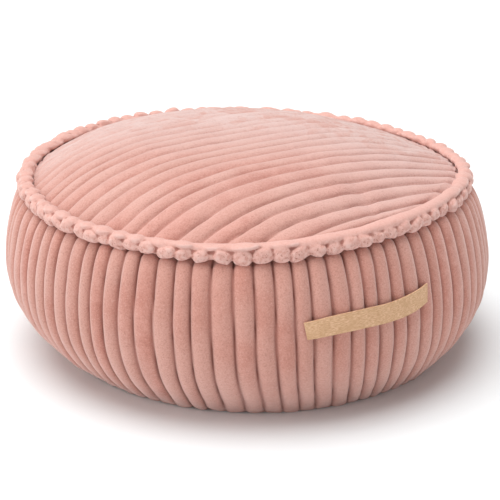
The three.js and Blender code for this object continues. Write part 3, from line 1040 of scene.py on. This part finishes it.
# Painted highlight on the ridges and painted shade in the creases, from how hollow the skin is.
tone = mix_colour(tree, remap(tree, crease, -0.035, -0.075, 0.0, 0.5), tone, RIDGE_HIGHLIGHT_PINK)
tone = mix_colour(tree, remap(tree, crease, 0.0, 0.06, 0.0, 0.75), tone, CREASE_SHADE_BROWN)
tree.links.new(tone, shader.inputs["Base Color"])
set_inputs(shader, Roughness=0.95, Specular_IOR_Level=0.1)
set_inputs(shader, Sheen_Weight=0.6, Sheen_Roughness=0.45, Sheen_Tint=srgb(255, 236, 230))
tree.links.new(bump_on(tree, fine, 0.0008, 0.7), shader.inputs["Normal"])
welt.data.materials.clear()
welt.data.materials.append(curly)
print("finish:", curly.name)

# %% [markdown]
# ## The woven tape
# The handle is a plain weave of tan cotton. It could be a mesh of threads, but from a step away only a
# grain and some flecks show. Two crossed waves make the weave, and a noise that is drawn out along the
# tape makes the flecks. They read the tape's own UV map, in metres, so they follow its curve.

# %% Woven cotton tape
THREADS = 1100
FLECK_STRETCH = (0.3, 1.0, 1.0)
DARK_TAN, PALE_TAN, CLOUD_TAN = srgb(222, 172, 131), srgb(248, 207, 168), srgb(216, 168, 126)

woven, tree, shader = new_finish("woven_cotton_tape")
across_tape = add_node(tree, "ShaderNodeUVMap", uv_map=tape.data.uv_layers[0].name).outputs["UV"]
warp = add_node(tree, "ShaderNodeTexWave", bands_direction="X")
weft = add_node(tree, "ShaderNodeTexWave", bands_direction="Y")
for threads in (warp, weft):
    set_inputs(threads, Scale=THREADS / TURN * 2, Distortion=0.8, Detail=1)
    tree.links.new(across_tape, threads.inputs["Vector"])
weave = mix_colour(tree, 0.5, warp.outputs["Color"], weft.outputs["Color"])
along_threads = add_node(tree, "ShaderNodeMapping")
set_inputs(along_threads, Scale=FLECK_STRETCH)
tree.links.new(across_tape, along_threads.inputs["Vector"])
fleck = noise_on(tree, along_threads.outputs["Vector"], 900, 3, 0.6)
cloud = noise_on(tree, across_tape, 70, 2, 0.5)
tone = mix_colour(tree, remap(tree, fleck, 0.34, 0.68), DARK_TAN, PALE_TAN)
tone = mix_colour(tree, remap(tree, cloud, 0.4, 0.7, 0.0, 0.45), tone, CLOUD_TAN)
tone = mix_colour(tree, 0.3, tone, weave, "MULTIPLY")
tree.links.new(tone, shader.inputs["Base Color"])
set_inputs(shader, Roughness=0.85, Sheen_Weight=0.15, Specular_IOR_Level=0.2)
tree.links.new(bump_on(tree, weave, 0.0003, 0.6), shader.inputs["Normal"])
tape.data.materials.clear()
tape.data.materials.append(woven)
print("finish:", woven.name)

# %% [markdown]
# ## Floor and light
# The pouf stands on a seamless pale floor in soft studio light. A bright surround fills the shadows,
# and a large soft light from above models the top. A smaller one from the left rounds the side, and
# two faint ones lift the far rim and the right. Suns with a wide angle do this without any falloff.

# %% Floor and light
FLOOR_SIZE = 24
FLOOR_COLOUR = (0.85, 0.88, 0.89, 1)
SURROUND_COLOUR, SURROUND_STRENGTH = (1, 1, 1, 1), 0.35

bpy.ops.object.select_all(action="DESELECT")
bpy.ops.mesh.primitive_plane_add(size=FLOOR_SIZE)
floor = start_piece("studio_floor")
floor_paint, tree, shader = new_finish("pale_floor")
set_inputs(shader, Base_Color=FLOOR_COLOUR, Roughness=0.7)
floor.data.materials.append(floor_paint)

surround = bpy.data.worlds.new("surround")
surround.use_nodes = True
set_inputs(surround.node_tree.nodes["Background"], Color=SURROUND_COLOUR, Strength=SURROUND_STRENGTH)
bpy.context.scene.world = surround


def soft_light(name, direction, spread, strength):
    data = bpy.data.lights.new(name, "SUN")
    data.angle = math.radians(spread)
    data.energy = strength
    light = bpy.data.objects.new(name, data)
    bpy.context.scene.collection.objects.link(light)
    light.rotation_euler = (-Vector(direction)).to_track_quat("-Z", "Y").to_euler()


soft_light("key", direction=(-0.14, 0.08, 0.98), spread=56, strength=3.0)
soft_light("side", direction=(-0.84, -0.36, 0.4), spread=40, strength=1.0)
soft_light("rim", direction=(-0.57, 0.62, 0.5), spread=30, strength=0.12)
soft_light("fill", direction=(0.7, -0.6, 0.3), spread=60, strength=0.24)
bpy.context.scene.view_settings.view_transform = "Standard"
print("lights ready")

# %% [markdown]
# ## Joining the frame
# Every piece rides on the one body and stands for its solid.

for piece, node, slot in (
    (cover, "pouf_body", "corduroy"),
    (welt, "rim_welt", "welt_corduroy"),
    (tape, "handle_strap", "handle_tape"),
):
    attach(piece, "root")
    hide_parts(node)
